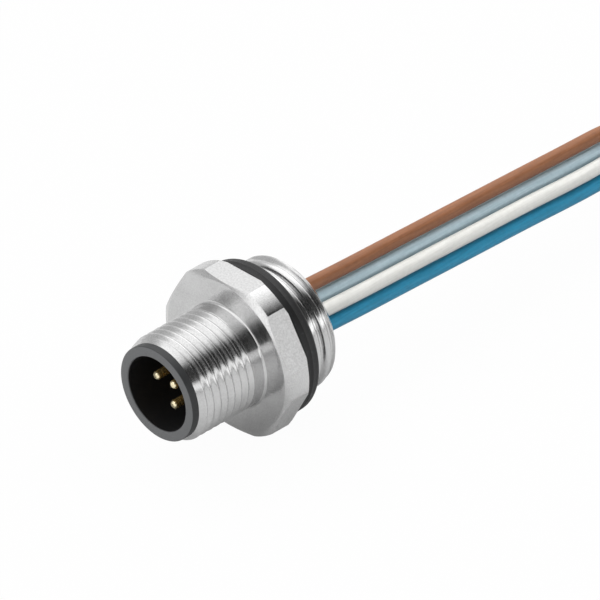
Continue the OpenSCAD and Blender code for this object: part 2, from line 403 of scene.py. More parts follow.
def linear(hex_colour: str) -> Colour:
    """Turn an sRGB hex colour, six digits with a leading #, to linear red, green and blue, and 1."""
    parts = (int(hex_colour[k : k + 2], 16) / 255 for k in (1, 3, 5))
    return (*(c / 12.92 if c <= 0.04045 else ((c + 0.055) / 1.055) ** 2.4 for c in parts), 1.0)


def set_stops(band: bpy.types.ColorRamp, stops: Sequence[tuple[float, str]]) -> None:
    """Give a colour ramp its stops.

    Args:
        band: The ramp.
        stops: Places and hex colours.
    """
    while len(band.elements) < len(stops):
        band.elements.new(0.5)
    for element, (place, colour) in zip(band.elements, stops):
        element.position = place
        element.color = linear(colour)


def grain(size_mm: float) -> float:
    """The texture scale that gives a pattern of this size in millimetres."""
    return 1 / (size_mm * MM)


class Nodes:
    """A node tree under construction."""

    def __init__(self, tree: bpy.types.NodeTree) -> None:
        """Start with an empty tree."""
        self.tree = tree
        self.tree.nodes.clear()

    def feed(self, node: bpy.types.Node, **inputs: object) -> None:
        """Set or link a node's inputs.

        Args:
            node: The node.
            **inputs: Each input by its name, with _ for a space, or by i and its number. It is a value, the
                socket that feeds it, or a node whose first output does.
        """
        for name, value in inputs.items():
            key = int(name[1:]) if name[0] == "i" and name[1:].isdigit() else name.replace("_", " ")
            if isinstance(value, bpy.types.Node):
                value = value.outputs[0]
            if isinstance(value, Socket):
                self.tree.links.new(value, node.inputs[key])
            else:
                node.inputs[key].default_value = value

    def add(self, kind: str, settings: dict[str, object] | None = None, **inputs: object) -> bpy.types.Node:
        """Add a node.

        Args:
            kind: The node's type, without its common first part.
            settings: The node's own properties, and a ramp's stops as places and hex colours.
            **inputs: Its inputs, as feed takes them.

        Returns:
            The node.
        """
        node = self.tree.nodes.new(f"ShaderNode{kind}")
        for name, value in (settings or {}).items():
            if name == "stops":
                set_stops(node.color_ramp, value)
            else:
                setattr(node, name, value)
        self.feed(node, **inputs)
        return node

    def total(self, *parts: tuple[Source, float], start: Source | float = 0.0) -> Source:
        """Add up values.

        Args:
            *parts: Each value with its weight.
            start: What they are added to.

        Returns:
            The sum.
        """
        for part, weight in parts:
            start = self.add("Math", {"operation": "MULTIPLY_ADD"}, i0=part, i1=weight, i2=start)
        return start


class Finish(Nodes):
    """A material under construction. Its patterns lie in the object's own coordinates."""

    def __init__(self, name: str) -> None:
        """Start a material with a Principled shader and an output.

        Args:
            name: The material's name.
        """
        self.material = bpy.data.materials.new(name)
        self.material.use_nodes = True
        super().__init__(self.material.node_tree)
        self.shader = self.add("BsdfPrincipled")
        self.output = self.add("OutputMaterial", Surface=self.shader)

    @cached_property
    def place(self) -> Socket:
        """The object's own coordinates."""
        return self.add("TexCoord").outputs["Object"]

    @cached_property
    def axes(self) -> bpy.types.NodeOutputs:
        """The object's own coordinates, one by one."""
        return self.add("SeparateXYZ", Vector=self.place).outputs

    @cached_property
    def radius(self) -> Socket:
        """The distance from the Y axis."""
        across = self.add("CombineXYZ", X=self.axes["X"], Z=self.axes["Z"])
        return self.add("VectorMath", {"operation": "LENGTH"}, i0=across).outputs["Value"]

    def stretched(self, share: float) -> Source:
        """Coordinates that draw a pattern out along the Y axis, to 1 / share of its length."""
        return self.add("Mapping", Vector=self.place, Scale=(1.0, share, 1.0))

    def beyond(self, value: Source, place_mm: float, blend_mm: float) -> Source:
        """1 beyond a place and 0 before it, or the other way round where the blend's width is negative."""
        return self.add("MapRange", i0=value, i1=(place_mm - blend_mm) * MM, i2=(place_mm + blend_mm) * MM)

    def matt(self, pattern: Source, roughness: Pair) -> Source:
        """Roughness by a noise pattern, whose values lie round 0.5."""
        return self.add("MapRange", i0=pattern, i1=0.3, i2=0.7, i3=roughness[0], i4=roughness[1])

    def complete(
        self, colour: Source, rough: Source | float, relief: Source, strength: float, depth_mm: float,
        metallic: float = 0.0,
    ) -> bpy.types.Material:
        """Feed the shader.

        Args:
            colour: The base colour.
            rough: The roughness.
            relief: The height of the surface.
            strength: How strongly the relief shows.
            depth_mm: How deep it is.
            metallic: How metallic the surface is.

        Returns:
            The material.
        """
        bump = self.add("Bump", Strength=strength, Distance=depth_mm * MM, Height=relief)
        self.feed(self.shader, Base_Color=colour, Roughness=rough, Normal=bump, Metallic=metallic)
        return self.material


@dataclass(frozen=True)
class NickelPlate:
    """Bright nickel plating on turned brass: neutral silver, with the fine rings that the tool left."""

    name: str = "nickel_plated_turned_brass"
    dark: str = "#C9C9C9"
    light: str = "#DBDBDB"
    roughness: Pair = (0.13, 0.24)
    ring_mm: float = 0.11  # the tool's real marks are finer and wouldn't show
    speck_mm: float = 0.16
    cloud_mm: float = 2.6
    mark_depth_mm: float = 0.0016

    def make(self) -> bpy.types.Material:
        """Make the material.

        Returns:
            The material.
        """
        m = Finish(self.name)
        turned = m.add("CombineXYZ", X=m.radius, Y=m.axes["Y"])
        rings = m.add("TexNoise", Vector=turned, Scale=grain(self.ring_mm), Detail=2.0)
        specks = m.add("TexNoise", Vector=m.place, Scale=grain(self.speck_mm), Detail=3.0, Roughness=0.6)
        clouds = m.add("TexNoise", Vector=m.place, Scale=grain(self.cloud_mm), Detail=2.0)
        tone = m.total((specks, 0.7), (clouds, 0.3))
        colour = m.add("ValToRGB", {"stops": ((0.36, self.dark), (0.60, self.light))}, Fac=tone)
        marks = m.total((rings, 0.5), (specks, 0.5))
        smoothest, roughest = self.roughness
        rough = m.add("MapRange", i0=marks, i1=0.35, i2=0.65, i3=smoothest, i4=roughest)
        return m.complete(colour, rough, m.total((rings, 1.0), (specks, 0.4)), 0.35, self.mark_depth_mm, 1.0)


@dataclass(frozen=True)
class MilledNickel:
    """Nickel plating over the milled flats: a fine even grain, duller than the turned faces."""

    name: str = "nickel_plated_milled_brass"
    dark: str = "#C4C4C4"
    light: str = "#DADADA"
    roughness: Pair = (0.32, 0.42)
    speck_mm: float = 0.22
    stroke_mm: float = 0.12
    mark_depth_mm: float = 0.004

    def make(self) -> bpy.types.Material:
        """Make the material.

        Returns:
            The material.
        """
        m = Finish(self.name)
        strokes = m.add("TexNoise", Vector=m.stretched(0.12), Scale=grain(self.stroke_mm), Detail=2.0)
        specks = m.add("TexNoise", Vector=m.place, Scale=grain(self.speck_mm), Detail=4.0, Roughness=0.65)
        colour = m.add("ValToRGB", {"stops": ((0.36, self.dark), (0.64, self.light))}, Fac=specks)
        relief = m.total((specks, 1.0), (strokes, 1.0))
        return m.complete(colour, m.matt(strokes, self.roughness), relief, 0.3, self.mark_depth_mm, 1.0)


@dataclass(frozen=True)
class MouldedRubber:
    """Moulded nitrile rubber: near black, dull, with a fine skin and a few specks of bloom."""

    name: str = "moulded_black_rubber"
    dark: str = "#0C0C0D"
    light: str = "#131314"
    bloom: str = "#2A2B2D"
    roughness: Pair = (0.42, 0.62)
    skin_mm: float = 0.14  # drawn coarser than the mould's real grain, which wouldn't show
    bloom_mm: float = 0.38
    skin_depth_mm: float = 0.02

    def make(self) -> bpy.types.Material:
        """Make the material.

        Returns:
            The material.
        """
        m = Finish(self.name)
        skin = m.add("TexNoise", Vector=m.place, Scale=grain(self.skin_mm), Detail=4.0, Roughness=0.6)
        specks = m.add("TexNoise", Vector=m.place, Scale=grain(self.bloom_mm), Detail=1.0)
        spots = m.add("MapRange", i0=specks, i1=0.64, i2=0.74, i4=0.6)
        black = m.add("ValToRGB", {"stops": ((0.35, self.dark), (0.65, self.light))}, Fac=skin)
        colour = m.add("Mix", {"data_type": "RGBA"}, Factor=spots, i6=black, i7=linear(self.bloom))
        return m.complete(colour.outputs[2], m.matt(skin, self.roughness), skin, 0.4, self.skin_depth_mm)


@dataclass(frozen=True)
class MouldedPlastic:
    """Injection-moulded, glass-filled polyamide: charcoal, satin from its mould, polished inside the shroud,
    with painted shade that darkens the shroud's inside and the rim's outer side.
    """

    name: str = "moulded_black_polyamide"
    rim_dark: str = "#424344"
    rim_light: str = "#525354"
    # Painted shade: the rim's outer side is coloured darker than its front face.
    side: str = "#252627"
    # Painted shade: a darker colour for the inside of the shroud, where little light reaches.
    cup_shade: str = "#171718"
    roughness: Pair = (0.42, 0.56)
    cup_polish: float = -0.1
    rim_r: float = 5.4
    rim_blend: float = 0.02
    cup_r: float = 4.34
    cup_blend: float = 0.03
    skin_mm: float = 0.10  # drawn coarser than the mould's real grain, which wouldn't show
    skin_depth_mm: float = 0.012

    def make(self) -> bpy.types.Material:
        """Make the material.

        Returns:
            The material.
        """
        m = Finish(self.name)
        # Painted shade: within cup_r the colour turns darker for the shroud's inside, and the same mask
        # makes it smoother.
        inside = m.beyond(m.radius, self.cup_r, -self.cup_blend)
        # Painted shade: beyond rim_r, on the rim's outer side, the colour turns darker.
        outside = m.beyond(m.radius, self.rim_r, self.rim_blend)
        skin = m.add("TexNoise", Vector=m.place, Scale=grain(self.skin_mm), Detail=3.0)
        rim = ((0.35, self.rim_dark), (0.65, self.rim_light))
        colour = m.add("ValToRGB", {"stops": rim}, Fac=skin).outputs[0]
        # Painted shade is mixed in here: darker colours inside the shroud and on the rim's outer side.
        for share, tone in ((inside, self.cup_shade), (outside, self.side)):
            colour = m.add("Mix", {"data_type": "RGBA"}, Factor=share, i6=colour, i7=linear(tone)).outputs[2]
        rough = m.total((m.matt(skin, self.roughness), 1.0), (inside, self.cup_polish))
        return m.complete(colour, rough, skin, 0.3, self.skin_depth_mm)


@dataclass(frozen=True)
class GoldPlate:
    """Hard gold plating on turned brass: warm, a little dulled, with drawn lines and a painted highlight on
    the tip.
    """

    name: str = "gold_plated_turned_brass"
    dark: str = "#CDA354"
    light: str = "#F0D28E"
    # Painted highlight: a near-white colour for the rounded tip, where the front light glints.
    tip: str = "#FFF2CC"
    roughness: Pair = (0.16, 0.30)
    metallic: float = 0.85
    y_tip: float = -10.72
    highlight_blend: float = 0.06
    line_mm: float = 0.05
    mark_depth_mm: float = 0.002

    def make(self) -> bpy.types.Material:
        """Make the material.

        Returns:
            The material.
        """
        m = Finish(self.name)
        lines = m.add("TexNoise", Vector=m.stretched(0.15), Scale=grain(self.line_mm), Detail=2.0)
        # Painted highlight: in front of y_tip the gold turns near white.
        tip_highlight = m.beyond(m.axes["Y"], self.y_tip, -self.highlight_blend)
        gold = m.add("ValToRGB", {"stops": ((0.3, self.dark), (0.7, self.light))}, Fac=lines)
        colour = m.add("Mix", {"data_type": "RGBA"}, Factor=tip_highlight, i6=gold, i7=linear(self.tip)).outputs[2]
        rough = m.matt(lines, self.roughness)
        return m.complete(colour, rough, lines, 0.3, self.mark_depth_mm, self.metallic)


@dataclass(frozen=True)
class CastResin:
    """Black epoxy casting resin: glossy, slightly wavy, with a few pin holes from small bubbles."""

    name: str = "cast_black_epoxy"
    dark: str = "#0E0E0F"
    light: str = "#1D1D1F"
    roughness: Pair = (0.14, 0.30)
    wave_mm: float = 2.2
    hole_mm: float = 0.9
    wave_depth_mm: float = 0.12

    def make(self) -> bpy.types.Material:
        """Make the material.

        Returns:
            The material.
        """
        m = Finish(self.name)
        waves = m.add("TexNoise", Vector=m.place, Scale=grain(self.wave_mm), Detail=1.0)
        bubbles = m.add("TexVoronoi", Vector=m.place, Scale=grain(self.hole_mm)).outputs["Distance"]
        holes = m.add("MapRange", i0=bubbles, i1=0.05, i2=0.10, i3=-0.3, i4=0.0)
        colour = m.add("ValToRGB", {"stops": ((0.3, self.dark), (0.7, self.light))}, Fac=waves)
        relief = m.total((waves, 1.0), (holes, 1.0))
        return m.complete(colour, m.matt(waves, self.roughness), relief, 0.5, self.wave_depth_mm)


@dataclass(frozen=True)
class TinnedCopper:
    """Tin-dipped stranded copper: pale grey, soft gloss, a little uneven."""

    name: str = "tinned_copper_strand"
    dark: str = "#A9AAA8"
    light: str = "#DADBD8"
    roughness: Pair = (0.22, 0.42)
    patch_mm: float = 0.35
    patch_depth_mm: float = 0.015

    def make(self) -> bpy.types.Material:
        """Make the material.

        Returns:
            The material.
        """
        m = Finish(self.name)
        patches = m.add("TexNoise", Vector=m.place, Scale=grain(self.patch_mm), Detail=3.0)
        colour = m.add("ValToRGB", {"stops": ((0.35, self.dark), (0.65, self.light))}, Fac=patches)
        return m.complete(colour, m.matt(patches, self.roughness), patches, 0.4, self.patch_depth_mm, 1.0)


@dataclass(frozen=True)
class Insulation:
    """Extruded PVC insulation: satin, dyed through, with faint streaks from the extruder's die."""

    name: str
    dark: str
    light: str
    roughness: Pair = (0.36, 0.50)
    streak_mm: float = 0.18
    mottle_mm: float = 0.5
    streak_depth_mm: float = 0.006

    def make(self) -> bpy.types.Material:
        """Make the material.

        Returns:
            The material.
        """
        m = Finish(self.name)
        streaks = m.add("TexNoise", Vector=m.stretched(0.04), Scale=grain(self.streak_mm), Detail=2.0)
        mottle = m.add("TexNoise", Vector=m.place, Scale=grain(self.mottle_mm), Detail=3.0)
        tone = m.total((streaks, 0.65), (mottle, 0.35))
        colour = m.add("ValToRGB", {"stops": ((0.35, self.dark), (0.65, self.light))}, Fac=tone)
        return m.complete(colour, m.matt(mottle, self.roughness), tone, 0.3, self.streak_depth_mm)


@dataclass(frozen=True)
class WovenStrap:
    """Woven polyester tape: black, matt, its threads crossing at right angles."""

    name: str = "woven_black_polyester"
    dark: str = "#0F0F10"
    light: str = "#2E2E31"
    roughness: float = 0.85
    sheen: float = 0.25
    thread_mm: float = 0.30
    thread_depth_mm: float = 0.05

    def make(self) -> bpy.types.Material:
        """Make the material.

        Returns:
            The material.
        """
        m = Finish(self.name)
        # A wave texture of scale 1 repeats every 2 pi / 20 of a unit.
        scale = TURN / 20 * grain(self.thread_mm)
        warp, weft = (
            m.add("TexWave", {"bands_direction": way}, Vector=m.place, Scale=scale, Distortion=0.4)
            for way in ("Y", "DIAGONAL")
        )
        weave = m.add("Math", {"operation": "MULTIPLY"}, i0=warp.outputs["Fac"], i1=weft.outputs["Fac"])
        m.feed(m.shader, Sheen_Weight=self.sheen)
        colour = m.add("ValToRGB", {"stops": ((0.05, self.dark), (0.8, self.light))}, Fac=weave)
        return m.complete(colour, self.roughness, weave, 0.6, self.thread_depth_mm)


# Leads


@dataclass(frozen=True)
class Wire:
    """One lead: its colour, its places as x and z, and the dark and the light of its insulation."""

    colour: str
    pin: Pair
    at_exit: Pair
    on_way: Pair
    in_hank: Pair
    dark: str
    light: str
    stands_for: tuple[str, ...] = ()

    def place(self, stage: float) -> Pair:
        """The lead's place in the bundle.

        Args:
            stage: 0 at the exit, 1 on the way and 2 in the hank.

        Returns:
            How far it lies sideways and upwards of the bundle's middle.
        """
        (ax, az), (bx, bz) = (self.at_exit, self.on_way) if stage <= 1 else (self.on_way, self.in_hank)
        t = stage if stage <= 1 else stage - 1
        return (ax * (1 - t) + bx * t, az * (1 - t) + bz * t)


WIRES = (
    Wire("brown", (0.0, 2.5), (-0.8, 2.2), (-0.9, 1.6), (-0.8, 0.7), "#7B4D2F", "#8B5A3A", ("lead_hank",)),
    Wire("white", (2.5, 0.0), (1.3, 0.0), (1.2, 0.8), (0.8, 0.7), "#D0D0CC", "#DDDDD9"),
    Wire("blue", (0.0, -2.5), (1.4, -2.0), (1.6, -1.4), (1.6, -0.7), "#15799B", "#208AB0"),
    Wire("black", (-2.5, 0.0), (-2.3, -0.1), (-2.1, -0.5), (-1.6, -0.7), "#161617", "#212123"),
    Wire("grey", (0.0, 0.0), (-0.5, 0.4), (-0.4, -0.2), (0.0, -0.7), "#A3BAC4", "#B7CCD5"),
)


@dataclass
class Leads:
    """Five insulated single leads, their stripped ends, and the hank of their unseen length."""

    diameter: float = 1.6
    core_d: float = 0.76
    lay_length: float = 9.0
    middle_share: float = 0.9  # radius of the middle strand as a share of the others'
    middle_cone: float = 0.08
    strand_steps: int = 28
    strip_l: float = 5.0
    hidden_l: float = 0.6  # how far a stripped end reaches into its insulation
    trim: float = 0.15  # cut off each lead, so that its end stays inside the CAD box
    y_start: float = 3.4
    y_exit: float = 5.7
    length: float = 200.0
    hank_y: float = 79.0
    hank_run: float = 24.0
    fold_r: float = 6.6
    waist: float = 2.5
    layer: float = 3.1
    lift: float = 0.55
    lift_reach: float = 8.0
    bed: float = 1.51  # height of the bundle's middle in the hank
    climb_l: float = 6.0  # length of the run over which the bundle starts to climb
    climb_end: float = math.radians(300)
    tail: Sequence[float] = (0, 3, 6, 10, 16, 22, 30, 38)  # places beyond the band
    route: Sequence[Point] = (
        (0, 14, -0.35), (0, 23, -0.7), (0, 32, -1.05), (0, 41, -1.4), (0, 50, -1.75), (0.1, 55, -2.1),
        (1.3, 59.5, -3.3), (3.4, 64, -5.2), (5.5, 68, -6.7), (6.4, 71.5, -7.39), (6.58, 74.5, -7.49),
        (6.6, 78, -7.49),
    )
    stages: Sequence[float] = (0, 0, 0, 0, 0, 0.2, 0.6, 1.1, 1.6, 2, 2, 2)
    sample: float = 0.5

    def on_run(self, side: int, y: float, height: float) -> Vector:
        """The bundle's middle on a straight run of the hank.

        Args:
            side: 1 on the right and -1 on the left.
            y: The place along the hank.
            height: The height away from the band.

        Returns:
            The point, drawn in at the waist and lifted over the band.
        """
        beside = y - self.hank_y - self.hank_run / 2
        pull = (1 + math.cos(TURN * beside / self.hank_run)) / 2
        half = self.fold_r - (self.fold_r - self.waist) * pull
        return Vector((side * half, y, height + self.over_band(beside)))

    def over_band(self, beside: float) -> float:
        """How far the band under the hank lifts the leads at a distance from it."""
        t = min(abs(beside) / self.lift_reach, 1.0)
        return self.lift * (1 + math.cos(math.pi * t)) / 2

    def on_fold(self, angle: float, y: float, height: float) -> Vector:
        """The bundle's middle on a fold round a point at y."""
        return Vector((self.fold_r * math.cos(angle), y + self.fold_r * math.sin(angle), height))

    def climb(self, angle: float) -> float:
        """How far the bundle has climbed from the lower to the upper layer at an angle of the near fold."""
        t = part_way(angle, math.pi - self.climb_l / self.fold_r, self.climb_end)
        return self.layer * t * t * (3 - 2 * t)

    def middle(self) -> list[Vector]:
        """The bundle's own line.

        Returns:
            Its points, from the connector through the hank to the free ends.
        """
        near, far = self.hank_y, self.hank_y + self.hank_run
        low = FLOOR_Z + self.bed
        high = low + self.layer
        ups = [near + self.hank_run * k / 9 for k in range(1, 9)]
        half_turn = [math.pi * k / 8 for k in range(9)]
        line = [Vector(point) for point in self.route]
        line += [self.on_run(1, y, low) for y in ups]
        line += [self.on_fold(a, far, low) for a in half_turn]
        back = [(y, self.climb(math.pi - (y - near) / self.fold_r)) for y in reversed(ups)]
        line += [self.on_run(-1, y, low + climbed) for y, climbed in back]
        line += [self.on_fold(math.pi + a, near, low + self.climb(math.pi + a)) for a in half_turn]
        line += [self.on_run(1, y, high) for y in ups[:4]]
        tie_y = near + self.hank_run / 2
        line += [Vector((self.waist, tie_y + s, high + self.over_band(s))) for s in self.tail]
        return line

    def centreline(self, wire: Wire) -> list[Vector]:
        """The lead's smooth centreline, from inside the potting to the end of its insulation.

        Args:
            wire: The lead.

        Returns:
            Its points.
        """
        line = self.middle()
        stages = [*self.stages, *[2.0] * (len(line) - len(self.stages))]
        x, z = wire.at_exit
        points = [Vector((x, self.y_start, z)), Vector((x, self.y_exit, z))]
        for k, (centre, stage) in enumerate(zip(line, stages)):
            before = line[k - 1] if k else Vector((0, self.y_exit, 0))
            after = line[k + 1] if k + 1 < len(line) else centre * 2 - line[k - 1]
            along = (after - before).normalized()
            side = along.cross(UP).normalized()
            right, rise = wire.place(stage)
            points.append(centre + side * right + side.cross(along) * rise)
        insulated = self.length - self.strip_l - self.trim + self.y_exit - self.y_start
        return cut_to(smooth_line(points, self.sample), insulated)

    def build_lead(self, wire: Wire, line: Sequence[Vector]) -> bpy.types.Object:
        """Lay one insulated lead.

        Args:
            wire: The lead.
            line: Its centreline.

        Returns:
            The lead's object.
        """
        curve = bpy.data.curves.new(f"insulation_{wire.colour}", "CURVE")
        curve.dimensions = "3D"
        # The points' radius carries the lead's, because the curve's box counts it.
        curve.bevel_depth = 1.0
        curve.bevel_resolution = 6
        curve.use_fill_caps = True
        spline = curve.splines.new("POLY")
        spline.points.add(len(line) - 1)
        for point, co in zip(spline.points, line):
            point.co = (*(co * MM), 1.0)
            point.radius = self.diameter / 2 * MM
        spline.use_smooth = True
        obj = link(bpy.data.objects.new(f"wire_{wire.colour}", curve))
        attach(obj, "root")
        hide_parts(f"lead_{wire.colour}", *wire.stands_for)
        dress(obj, Insulation(f"{wire.colour}_pvc", wire.dark, wire.light).make())
        return obj

    def build_tips(
        self, lines: dict[Wire, list[Vector]], tinned: bpy.types.Material
    ) -> list[bpy.types.Object]:
        """Model a stripped end once, six strands twisted round one, and copy it to each lead.

        Args:
            lines: The centreline of each lead.
            tinned: The strands' finish.

        Returns:
            The stripped end of each lead.
        """
        r = self.core_d / 6  # of a strand: three lie side by side across the core
        long = self.strip_l + self.hidden_l
        strand = Shape.start(
            "strand", bpy.ops.mesh.primitive_circle_add, vertices=10, radius=r,
            location=(2 * r, 0, 0), rotation=(math.pi / 2, 0, 0),
        )
        strand.modify(
            "SCREW", axis="Y", angle=TURN * long / self.lay_length, screw_offset=long,
            steps=self.strand_steps, render_steps=self.strand_steps, use_smooth_shade=False,
        )
        for y in (0.0, long):
            strand.edit_open_edge(y)
            bpy.ops.mesh.edge_face_add()
        strand.heal()
        inner = r * self.middle_share
        outline = [(0, 0), (inner, 0), (inner, long - self.middle_cone), (0, long)]
        middle = Shape.turned("strand_middle", outline, 12)
        others = [strand.copy(f"strand_{k}", Matrix.Rotation(TURN * k / 6, 4, "Y")) for k in range(1, 6)]
        strand.join(middle, *others)
        tips = []
        for wire, line in lines.items():
            shift = Matrix.Translation(line[-1] - Vector((0, self.hidden_l, 0)))
            tip = strand.copy(f"stripped_end_{wire.colour}", shift)
            tips.append(tip.finish(f"tip_{wire.colour}", "tinned_copper", tinned, 50.0))
        strand.scrap()
        return tips

    def build(self) -> list[bpy.types.Object]:
        """Build the leads with their ends and dress the conductors in the potting.

        Returns:
            The leads and their stripped ends.
        """
        tinned = TinnedCopper().make()
        lines = {wire: self.centreline(wire) for wire in WIRES}
        tips = self.build_tips(lines, tinned)
        leads = []
        for (wire, line), tip in zip(lines.items(), tips):
            lead = self.build_lead(wire, line)
            for slot in frame["nodes"][f"core_{wire.colour}"].material_slots:
                slot.material = tinned
            leads.append(lead)
        return leads + tips


def smooth_line(points: Sequence[Vector], step: float) -> list[Vector]:
    """A natural cubic through points, sampled evenly.

    Args:
        points: The points that it goes through.
        step: The distance between samples.

    Returns:
        The samples.
    """
    t = [0.0]
    for a, b in zip(points, points[1:]):
        t.append(t[-1] + (b - a).length)
    h = [b - a for a, b in zip(t, t[1:])]
    n = len(points)
    upper, right = [0.0] * n, [Vector() for _ in points]
    for i in range(1, n - 1):
        slope = (points[i + 1] - points[i]) / h[i] - (points[i] - points[i - 1]) / h[i - 1]
        width = 2 * (h[i - 1] + h[i]) - h[i - 1] * upper[i - 1]
        upper[i] = h[i] / width
        right[i] = (6 * slope - h[i - 1] * right[i - 1]) / width
    bend = [Vector() for _ in points]
    for i in range(n - 2, 0, -1):
        bend[i] = right[i] - upper[i] * bend[i + 1]
    samples, k = [], 0
    count = int(t[-1] / step)
    for j in range(count + 1):
        s = t[-1] * j / count
        while k < n - 2 and s > t[k + 1]:
            k += 1
        u, v = s - t[k], t[k + 1] - s
        samples.append(
            (bend[k] * v**3 + bend[k + 1] * u**3) / (6 * h[k])
            + (points[k] / h[k] - bend[k] * h[k] / 6) * v
            + (points[k + 1] / h[k] - bend[k + 1] * h[k] / 6) * u
        )
    return samples


def cut_to(line: Sequence[Vector], length: float) -> list[Vector]:
    """Cut a line to a length.

    Args:
        line: Its points.
        length: The length wanted.

    Returns:
        The points up to that length.
    """
    kept, gone = [line[0]], 0.0
    for a, b in zip(line, line[1:]):
        piece = (b - a).length
        if gone + piece >= length:
            return [*kept, a.lerp(b, (length - gone) / piece)]
        kept.append(b)
        gone += piece
    return kept


# Housing


@dataclass(frozen=True)
class ThreadForm:
    """A screw thread: its crest radius, pitch, depth, flank angle and roundings."""

    crest_r: float
    pitch: float
    depth: float
    flank: float
    rounding: float
    crest_share: float
    rows: int = 22

    def outline(self) -> list[Pair]:
        """Draw one pitch.

        Returns:
            Radius and y of its points, from root to root.
        """
        slope = math.tan(math.radians(90 - self.flank))
        crest_half = (self.pitch / 2 - self.depth / slope) * self.crest_share
        points = []
        for k in range(self.rows + 1):
            y = self.pitch * k / self.rows
            drop = soft_clip((abs(y - self.pitch / 2) - crest_half) * slope, self.depth, self.rounding)
            points.append((self.crest_r - drop, y))
        return points


def soft_clip(value: float, high: float, rounding: float) -> float:
    """Clip a value to 0..high with corners rounded to a width."""
    gap = high - (value + math.hypot(value, rounding)) / 2
    return high - (gap + math.hypot(gap, rounding)) / 2


@dataclass
class Housing:
    """The turned part: mating sleeve, neck, hexagon flange, seal groove and panel thread."""

    mating: ThreadForm = ThreadForm(6.0, 1.0, 0.42, 42.0, 0.08, 0.8)
    mating_phase: float = 0.1
    panel: ThreadForm = ThreadForm(7.6, 1.41, 0.52, 33.0, 0.10, 0.75)
    panel_phase: float = 0.22
    steps: int = 96
    y_sleeve: float = -12.2
    y_thread_end: float = -4.6
    chamfer: float = 0.55
    chamfer_l: float = 0.715
    run_out: Pair = (-5.3, -4.65)
    neck_r: float = 5.95
    neck_rise: float = 0.2
    neck_step: float = 0.05
    fillet: float = 0.3
    y_flange: float = -3.0
    across_flats: float = 18.0
    corner_r: float = 9.6
    corner_cut: float = 0.45
    face_r: float = 8.8
    back_edge: float = 0.25
    web_r: float = 8.2
    face_seam_r: float = 7.9
    seat_seam_r: float = 8.0
    bore_r: float = 4.95
    mouth_edge: float = 0.06
    y_step: float = -2.6
    step_seams: Pair = (5.25, 5.55)
    groove_r: float = 7.0
    y_groove_end: float = 2.3
    lead_in: float = 0.25
    lead_in_slope: float = 1.2
    y_rear: float = 6.0
    rear_chamfer: float = 0.5
    rear_bore_r: float = 6.2
    rear_mouth_edge: float = 0.12
    bevel: float = 0.04
    slack: float = 0.02
    flat_area: float = 2e-6  # in square metres: smaller faces keep the housing's finish

    def thread(
        self, name: str, form: ThreadForm, y_from: float, y_to: float, phase: float,
        limit: Callable[[float], Pair],
    ) -> Shape:
        """Sweep one pitch of a thread into a helix, trim it at both ends and keep it between two radii.

        Args:
            name: The shape's name.
            form: The thread.
            y_from: Where it starts.
            y_to: Where it ends.
            phase: How far the helix is shifted along the axis.
            limit: Gives the lowest and highest radius at y.

        Returns:
            The open threaded wall.
        """
        first = y_from - form.pitch * 2 + phase
        turns = math.ceil((y_to - first) / form.pitch) + 1
        wall = Shape.line(name, [(r, y + first, 0.0) for r, y in form.outline()])
        wall.modify(
            "SCREW", axis="Y", angle=TURN, screw_offset=form.pitch, iterations=turns, steps=self.steps,
            render_steps=self.steps, use_smooth_shade=False,
        )
        wall.edit(Pick.VERTS)
        bpy.ops.mesh.remove_doubles(threshold=MERGE)
        for y, side in ((y_from, "clear_inner"), (y_to, "clear_outer")):
            bpy.ops.mesh.select_all(action="SELECT")
            bpy.ops.mesh.bisect(plane_co=(0, y, 0), plane_no=(0, 1, 0), threshold=MERGE / 10, **{side: True})

        def keep(co: Vector) -> Vector:
            """Bring a point between the two radii."""
            low, high = limit(co.y)
            return on_ring(co, min(high, max(low, from_axis(co))), co.y)

        bpy.ops.mesh.select_all(action="SELECT")
        wall.place_picked(keep)
        wall.leave()
        return wall

    def mating_limit(self, y: float) -> Pair:
        """Bound the mating thread by its chamfer, its run-out and the way to the neck.

        Args:
            y: The place on the axis.

        Returns:
            The lowest and the highest radius.
        """
        crest, rise = self.mating.crest_r, part_way(y, *self.run_out)
        root = crest - self.mating.depth
        low = root + (self.neck_r - root) * rise * rise
        chamfer = crest - self.chamfer + self.chamfer * (y - self.y_sleeve) / self.chamfer_l
        neck = self.neck_r + max(self.y_thread_end - y, 0.0) * self.neck_rise
        return low, min(crest, chamfer, neck)

    def panel_limit(self, y: float) -> Pair:
        """Lowest and highest radius of the panel thread at y, chamfered at both ends."""
        start = (y - self.y_groove_end) * self.lead_in_slope - self.lead_in
        return 0.0, self.panel.crest_r + min(0.0, start, self.y_rear - self.rear_chamfer - y)

    def hexagon(self) -> Shape:
        """Cut a six-sided prism with a turned blank and break its edges.

        Returns:
            The hexagon, open inside.
        """
        prism = Shape.start(
            "hexagon", bpy.ops.mesh.primitive_cylinder_add, vertices=6,
            radius=self.across_flats / 2 / math.cos(math.pi / 6), depth=-self.y_flange,
            location=(0, self.y_flange / 2, 0), rotation=(math.pi / 2, math.pi / 2, 0),
        )
        r, y, e = self.corner_r, self.y_flange, self.back_edge
        outline = [
            (self.web_r, y), (self.face_r, y), (r, y + self.corner_cut), (r, -e), (r - e, 0),
            (self.web_r, 0), (self.web_r, y),
        ]
        prism.cut(Shape.turned("blank", outline, 144), Cut.KEEP_COMMON)
        prism.edit(Pick.FACES, lambda f: all(from_axis(v.co) < self.web_r + self.slack for v in f.verts))
        bpy.ops.mesh.delete(type="FACE")
        prism.leave()
        prism.break_edges(self.bevel, 2, 14.0)
        return prism

    def dress_flats(self, obj: bpy.types.Object) -> None:
        """Give the hexagon's flats a finish of their own.

        Args:
            obj: The housing.
        """
        obj.data.materials.append(MilledNickel().make())
        for face in obj.data.polygons:
            turn = math.degrees(math.atan2(face.normal.z, face.normal.x)) % 60
            square = abs(face.normal.y) < 0.01 and abs(turn - 30) < 0.4
            outside = from_axis(face.center) > (self.across_flats / 2 - self.slack) * MM
            if square and outside and face.area > self.flat_area:
                face.material_index = 1

